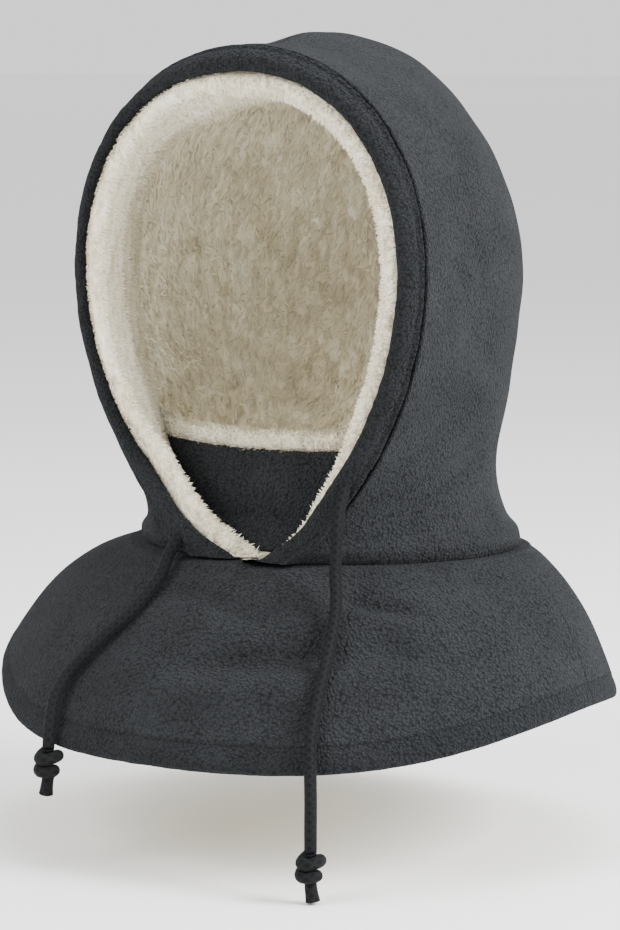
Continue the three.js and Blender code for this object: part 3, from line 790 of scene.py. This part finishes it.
def facing_piece(side):
    """The strip's closed section, and how far each point stands clear of the shell that it lies on."""
    axes = hem_axes(facing_rows, side)
    inward = hem_thickness + roll_gap
    roll = [(4.0, -inward), (hem_width - 1.0, -inward - 0.2), (hem_width + 3.0, -inward - 4.0),
            (hem_width + 2.5, -inward - 10.0), (9.0, -inward - 15.0)]
    flat = 1 - 0.42 * np.clip(1 - facing_rows / chin_t, 0, 1)[:, None] ** 0.7
    flat = flat * (1 if side == "left" else slimmer(facing_rows))
    puff = np.clip((0.75 - facing_rows) / 0.3, 0, 1)[:, None] * np.array((0.0, 0.5, 1.0, 1.0, 0.6))
    front = on_hem(axes, np.array([u for u, _ in roll]) + (5.5 if side == "right" else 0.0) * puff,
                   np.array([w for _, w in roll])[None, :] * flat)
    inner, outer = [], []
    for t in facing_rows:
        sag = 15.0 * float(np.clip((t - 0.5) / 0.3, 0, 1)) ** 1.5
        s, _ = share_at(t, np.array((24.0, 34.0, 43.0, facing_depth)))
        deep = np.array((19.0 + 0.5 * sag, 15.0 + sag, 12.0 + sag, 8.0 + 0.6 * sag))
        inner.append(hood_layer(s, np.full_like(s, t), shell_inside + deep))
        s, _ = share_at(t, np.array((facing_depth, 40.0, 31.0, 22.0, 13.0)))
        outer.append(hood_layer(s, np.full_like(s, t), np.full(5, shell_inside + 1.2)))
    loop = np.concatenate([front, np.array(inner), np.array(outer)], axis=1)
    top = (facing_rows > 0.9)[:, None]
    loop[..., 0] = np.where(top, np.maximum(loop[..., 0], 0.05), loop[..., 0])
    ring = closed_section(loop, facing_sides)
    hidden = np.array([np.linalg.norm(ring_row[:, None] - back_row[None], axis=2).min(axis=1)
                       for ring_row, back_row in zip(ring, closed_line(np.array(outer)))])
    shown = np.clip((hidden - 1.0) / 5.0, 0, 1)
    true = ring * (mirror if side == "right" else 1)
    outward = unit(ring - ring.mean(axis=1, keepdims=True))
    push = 0.7 * ripple(true, 15, 5) + 0.55 * ripple(true, 6, 6)
    ring = ring + (push * shown)[..., None] * outward
    ring[..., 0] = np.where(top, np.maximum(ring[..., 0], 0.0), ring[..., 0])
    ring[..., 2] = np.maximum(ring[..., 2], neck_z + 0.5)
    return ring * (mirror if side == "right" else 1), shown


# The part of the strip behind its roll lies in the hood's shade; that shade is painted into its faces and its
# pile as a darker cream.
behind = np.tile(np.arange(facing_sides) >= roll_sides, (len(facing_rows), 1))
pile_parts = (("roll", ~behind, 9000, rim_cream), ("inner", behind, 5500, shaded_cream))
for side, seed in (("left", 1), ("right", 2)):
    ring, shown_share = facing_piece(side)
    facing = closed_tube(f"plush_facing_{side}", ring, "hood", rim_cream)
    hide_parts(f"facing_{side}")
    facing.data.materials.append(shaded_cream)
    painted_shade_faces = np.zeros(len(facing.data.polygons), np.int32)
    painted_shade_faces[:(len(facing_rows) - 1) * facing_sides] = behind[:-1].ravel()
    facing.data.polygons.foreach_set("material_index", painted_shade_faces)
    for part, keep, count, material in pile_parts:
        roots, normals, across = scattered(ring, count, 10 + seed, (shown_share > 0.6) & keep)
        normals = away_from(ring.mean(axis=1), roots, normals)
        pile = tufts(f"facing_pile_{part}_{side}", roots, normals, across + np.array((0, 0, -0.25)), 3.6, 0.5,
                     "hood", material, 20 + seed, lift=0.34)

lining_rows = np.linspace(0, 1, 120) ** 1.3


def lining_surface(depth):
    points, normals = [], []
    for t in lining_rows:
        _, total = share_at(t, 0.0)
        start = min(facing_depth - 4, total * 0.97)
        s, _ = share_at(t, np.linspace(start, total, 100))
        points.append(hood_layer(s, np.full_like(s, t), np.full_like(s, depth)))
        normals.append(hood_normal(mix(rim_angle(np.float64(t)), math.pi, s), np.full_like(s, t)))
    return np.array(points), np.array(normals)


lining_outer, lining_normals = lining_surface(shell_inside)
lining_inner, _ = lining_surface(shell_inside + hood_plush)
for side, sign, seed in (("left", 1, 1), ("right", mirror, 2)):
    true = lining_inner * sign
    rise = 1.5 * ripple(true, 40, 7) + 0.9 * ripple(true, 11, 8) + 0.5 * ripple(true, 4.5, 9)
    seam = np.exp(-((true[..., 0] / 5.0) ** 2)) * (np.linspace(0, 1, 100)[None, :] > 0.7)
    lining_inner[:, -1, 0] = 0.0
    inner = (lining_inner - (rise - 2.2 * seam)[..., None] * lining_normals) * sign
    sheet = thickened(lining_outer * sign, inner)
    panel = facing_out(new_piece(f"lining_panel_{side}", *sheet, "hood", cream))
    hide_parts(f"lining_{side}")
    roots, normals, _ = scattered(inner, 17000, 30 + seed)
    inward_way = unit(np.array((0, 0, -0.5)) + (0, rim_y + 60, neck_z + 160) - roots)
    normals = normals * np.sign((normals * inward_way).sum(axis=1))[:, None]
    swirl = ripple(roots, 26, 18)[:, None] * np.array((0.55, 0, 0))
    nap_way = np.array((0, 0, -1.0)) + roots * (0.013, 0, 0) + swirl
    pile = tufts(f"lining_pile_{side}", roots, normals, nap_way, 8.5, 0.75, "hood", cream, 40 + seed,
                 lift=0.22)

# ------------------------------------------------------------------------------------------------
# Chin guard: a panel of fleece backed with plush, sewn in at the foot of the opening, with the
# plush rolled over its top edge. On the real hood it bends inward from its foot when the face is
# uncovered; here it is drawn standing up and rides on no body.
# ------------------------------------------------------------------------------------------------
guard_foot, guard_top, guard_sag, guard_set_back, guard_reach = 9, 64, 8, 26, 40
guard_plush, guard_side_gap = 5.0, 1.9
stack = (shell_inside + guard_plush) / 2


def guard_middle(a, h):
    """The middle of the guard's thickness, a across it from side to side and h up from its foot."""
    low_t, high_t = (math.asin(z / rim_height) * 2 / math.pi for z in (guard_foot, guard_top))
    wall = shell_inside + mix(facing_plush, hood_plush, 3 * guard_reach / facing_depth - 2) + guard_side_gap
    out = []
    for one_a, one_h in zip(np.ravel(a), np.ravel(h)):
        t = mix(low_t, high_t, one_h)
        s, _ = share_at(t, guard_reach)
        side_point = hood_layer(np.array([s]), np.array([t]), np.array([wall + stack]))[0]
        bow = math.cos(one_a * math.pi / 2)
        # The foot runs forward to the seam behind the hem.
        foot = 14.0 * max(0.0, (0.2 - one_h) / 0.35) ** 1.2
        out.append((side_point[0] * math.sin(one_a * math.pi / 2),
                    mix(side_point[1], rim_y + guard_set_back, bow) - foot * max(bow, 0.0) ** 0.6,
                    side_point[2] - guard_sag * one_h * bow))
    return np.array(out).reshape(*np.shape(a), 3)


guard_a, guard_h = np.meshgrid(np.linspace(-1.04, 1.04, 76), np.linspace(-0.15, 1, 42), indexing="xy")
guard_grid = guard_middle(guard_a, guard_h)
across = np.gradient(guard_grid, axis=1)
upward = np.gradient(guard_grid, axis=0)
guard_normals = unit(np.cross(across, upward))
swell = 1.1 * ripple(guard_grid, 30, 10) + 0.5 * ripple(guard_grid, 13, 11)


def guard_face(depth, moved):
    return guard_grid + (stack - depth + moved)[..., None] * guard_normals


fleece_sheet = thickened(guard_face(0.0, swell), guard_face(fleece_thickness * 1000, swell))
plush_sheet = thickened(guard_face(shell_inside, swell), guard_face(shell_inside + guard_plush, 0.6 * swell))
guard_fleece = facing_out(new_piece("guard_panel", *fleece_sheet, None, charcoal))
guard_back = facing_out(new_piece("guard_backing", *plush_sheet, None, cream))
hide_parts("guard_shell")
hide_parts("guard_lining")
roll_turn = np.linspace(0, 2 * math.pi, 26, endpoint=False)
top_line, top_normal = guard_grid[-1], guard_normals[-1]
roll = (top_line[:, None] + (4.6 * np.cos(roll_turn))[None, :, None] * top_normal[:, None]
        + np.array((0, 0, 1.0)) * (0.6 + 4.7 * (1 + np.sin(roll_turn)))[None, :, None])
roll = roll + 0.6 * ripple(roll, 6, 12)[..., None] * unit(roll - roll.mean(axis=1, keepdims=True))
guard_roll = closed_tube("guard_roll", roll, None, rim_cream)
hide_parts("guard_edge")
roots, normals, _ = scattered(np.concatenate([roll, roll[:, :1]], axis=1), 5200, 51)
normals = away_from(roll.mean(axis=1), roots, normals)
combed = np.tile((0, -0.6, 0.25), (len(roots), 1))
guard_pile = tufts("guard_pile", roots, normals, combed, 3.6, 0.5, None, rim_cream, 52)
for piece in (guard_fleece, guard_back, guard_roll, guard_pile):
    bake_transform(piece)

# ------------------------------------------------------------------------------------------------
# Cape: fleece front and back panels lined with plush, sewn to the hood round the neck and to each
# other at the shoulders, with a turned and topstitched hem. It spreads over the shoulders.
# ------------------------------------------------------------------------------------------------
cape_half_width, cape_middle_y, cape_front, cape_behind = 189, -34, 160, 172
cape_side_drop, cape_front_drop, cape_back_drop = 70, 103, 104
cape_length, cape_hem, cape_plush = 130, 12.0, 5.0


def cape_point(angle, r):
    """The cape's outer face in mm, at an angle round from the front and r out from the neck seam."""
    lobe = np.cos(angle) ** 2
    ahead = np.cos(angle) > 0
    neck_reach = np.where(ahead, neck_half_depth, centre_seam[0, 1] - neck_y)
    edge_reach = np.where(ahead, cape_front, cape_behind)
    ends = 1 - (1 - lobe) ** 2
    side_drop = cape_side_drop + 8 * np.sin(angle)
    drop = mix(side_drop, np.where(ahead, cape_front_drop, cape_back_drop), ends)
    shoulder = mix(0.95, 0.7, lobe)
    out = np.sin(r * shoulder) / np.sin(shoulder)
    down = mix(r, (1 - np.cos(r * shoulder)) / (1 - np.cos(shoulder)), mix(0.9, 0.5, ends))
    return np.stack([mix(neck_half_width, cape_half_width, out) * np.sin(angle),
                     mix(neck_y, cape_middle_y, out) - mix(neck_reach, edge_reach, out) * np.cos(angle),
                     neck_z - layer_gap - drop * down], axis=-1)


def cape_normal(angle, r):
    d = 1e-3
    around = cape_point(angle + d, r) - cape_point(angle - d, r)
    outward = cape_point(angle, r + d) - cape_point(angle, r - d)
    normal = unit(np.cross(outward, around))
    level = unit(normal * (1, 1, 0))
    return unit(mix(normal, level, np.clip(1 - 6 * r, 0, 1)[..., None]))


cape_folds = [
    ([(-30, -160, -340), (-4, -163, -342), (32, -157, -337), (64, -146, -333), (94, -132, -331),
      (121, -113, -330)], 9, -3.6),
    ([(-30, -170, -356), (4, -172, -357), (40, -166, -352), (74, -154, -349), (110, -134, -349)], 13, 2.6),
    ([(66, -114, -304), (92, -105, -308), (118, -92, -313)], 6, -3.4),
    ([(118, -65, -301), (126, -51, -301), (134, -37, -302)], 6, -3.2),
    ([(81, -120, -314), (101, -122, -325), (133, -110, -337), (157, -86, -340)], 10, -2.6),
    ([(-60, -118, -304), (-11, -130, -307), (20, -138, -314), (50, -134, -316)], 7, -1.8),
    ([(-130, -60, -330), (-150, -40, -342), (-168, -10, -356)], 12, -3.0),
    ([(-60, 105, -312), (-20, 122, -322), (30, 124, -324), (80, 104, -316)], 10, -3.2),
    ([(-20, 116, -306), (-30, 130, -340), (-36, 137, -370)], 12, 2.6),
    ([(70, 98, -310), (88, 108, -345), (100, 108, -372)], 12, 2.4),
]


def cape_grid(angles, shares, depth):
    angle, r = np.meshgrid(angles, shares, indexing="ij")
    base, normal = cape_point(angle, r), cape_normal(angle, r)
    calm = np.clip(r / 0.15, 0, 1)
    push = 1.9 * ripple(base, 75, 13) * calm + 1.1 * ripple(base, 33, 14) * calm * (1 - 0.6 * r)
    push += 1.6 * np.exp(-(((r - 0.055) / 0.035) ** 2)) - 1.2 * np.exp(-((r / 0.012) ** 2))
    for line, width, deep in cape_folds:
        push += 1.6 * deep * along_fold(base, line, width)
    return base + (push - depth)[..., None] * normal


hem_share = 1 - cape_hem / cape_length
lining_depth = shell_inside + cape_plush
# Each panel is cut as a piece of a ring: its width and length as laid flat, and the area of the cut.
cuts = (("front", 0.0, (0.48, 0.18), 0.052), ("back", math.pi, (0.49, 0.17), 0.0456))
for name, middle_angle, flat, cut_area in cuts:
    angles = middle_angle + np.linspace(-math.pi / 2, math.pi / 2, 190)
    shares = np.linspace(0, hem_share, 60)
    sheet = thickened(cape_grid(angles, shares, 0), cape_grid(angles, shares, fleece_thickness * 1000))
    panel = facing_out(new_piece(f"cape_panel_{name}", *sheet, "hood", charcoal))
    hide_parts(f"cape_{name}")
    inner = cape_grid(angles, shares, lining_depth)
    inner = inner + 0.7 * ripple(inner, 9, 15)[..., None] * np.array((0, 0, -1.0))
    sheet = thickened(cape_grid(angles, shares, shell_inside), inner)
    lined = facing_out(new_piece(f"cape_plush_{name}", *sheet, "hood", cream))
    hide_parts(f"cape_lining_{name}")
    section = [(hem_share - 0.004, 0.2), (hem_share + 0.01, 0.35), (hem_share + 0.025, 0.0), (0.975, 0.0),
               (0.996, 1.4), (1.0, 3.9), (0.996, 6.4), (0.975, lining_depth), (hem_share, lining_depth)]
    ring = np.stack([cape_grid(angles, np.array([r]), d)[:, 0] for r, d in section], axis=1)
    ring = closed_section(ring, 32)
    ring += 0.25 * ripple(ring, 6, 16)[..., None] * unit(ring - ring.mean(axis=1, keepdims=True))
    hem = closed_tube(f"cape_hem_{name}_band", ring, "hood", hem_material)
    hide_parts(f"cape_hem_{name}")

# ------------------------------------------------------------------------------------------------
# Neck tape: a strip of woven tape stitched over the neck seam on the inside.
# ------------------------------------------------------------------------------------------------
tape_low, tape_high = (np.array(corner) * 1000 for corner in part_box("neck_tape"))
tape_face, tape_back, tape_bulge = 8.1, 9.6, 9.9
tape_top, tape_foot = tape_high[2], tape_low[2]
tape_section = [(tape_face, tape_top), (tape_back, tape_top), (tape_bulge, (tape_top + tape_foot) / 2),
                (tape_back, tape_foot), (tape_face, tape_foot)]
tape_rings = []
for angle in np.linspace(0, 2 * math.pi, 181)[:-1]:
    at, way = cape_point(angle, np.float64(0.0)), cape_normal(angle, np.float64(0.0))
    tape_rings.append([np.array((*(at - depth * way)[:2], z)) for depth, z in tape_section])
tape = closed_tube("neck_binding", np.array(tape_rings), "hood", hem_material)
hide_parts("neck_tape")

# ------------------------------------------------------------------------------------------------
# Floor and light: a plain pale floor with soft light from above and from the wearer's right.
# ------------------------------------------------------------------------------------------------
floor_material, floor_shader, floor_node = shader("pale_floor")
speck = floor_node("ShaderNodeTexNoise", {"Scale": 3.0, "Detail": 2.0}).outputs["Fac"]
floor_colour = ramp(floor_node, speck, [(0.3, (0.90, 0.90, 0.90)), (0.7, (0.94, 0.94, 0.94))])
floor_material.node_tree.links.new(floor_colour, floor_shader.inputs["Base Color"])
floor_shader.inputs["Roughness"].default_value = 0.9
lowest = float(cad_low[2]) - 0.001
reach = np.array((-60, -25, -8, -3, -1, 1, 3, 8, 25, 60.0))
floor_points = np.array([(x, y, lowest) for y in reach for x in reach])
floor = new_piece("floor", floor_points, grid_faces(len(reach), len(reach)), None, floor_material)


lit_spot = Vector((0, -0.02, -0.2))


def soft_light(name, place, size, power):
    data = bpy.data.lights.new(name, "AREA")
    data.shape = "DISK"
    data.size = size
    data.energy = power
    lamp = bpy.data.objects.new(name, data)
    lamp.location = place
    lamp.rotation_euler = (lit_spot - Vector(place)).to_track_quat("-Z", "Y").to_euler()
    bpy.context.collection.objects.link(lamp)


soft_light("key", (-0.6, -1.7, 1.1), 1.2, 40)
soft_light("side", (1.9, 0.1, 0.9), 1.2, 120)
soft_light("top", (0.2, 0.3, 1.9), 1.6, 34)
world = bpy.data.worlds.new("studio")
world.use_nodes = True
world.node_tree.nodes["Background"].inputs["Color"].default_value = (1, 1, 1, 1)
world.node_tree.nodes["Background"].inputs["Strength"].default_value = 1.25
bpy.context.scene.world = world
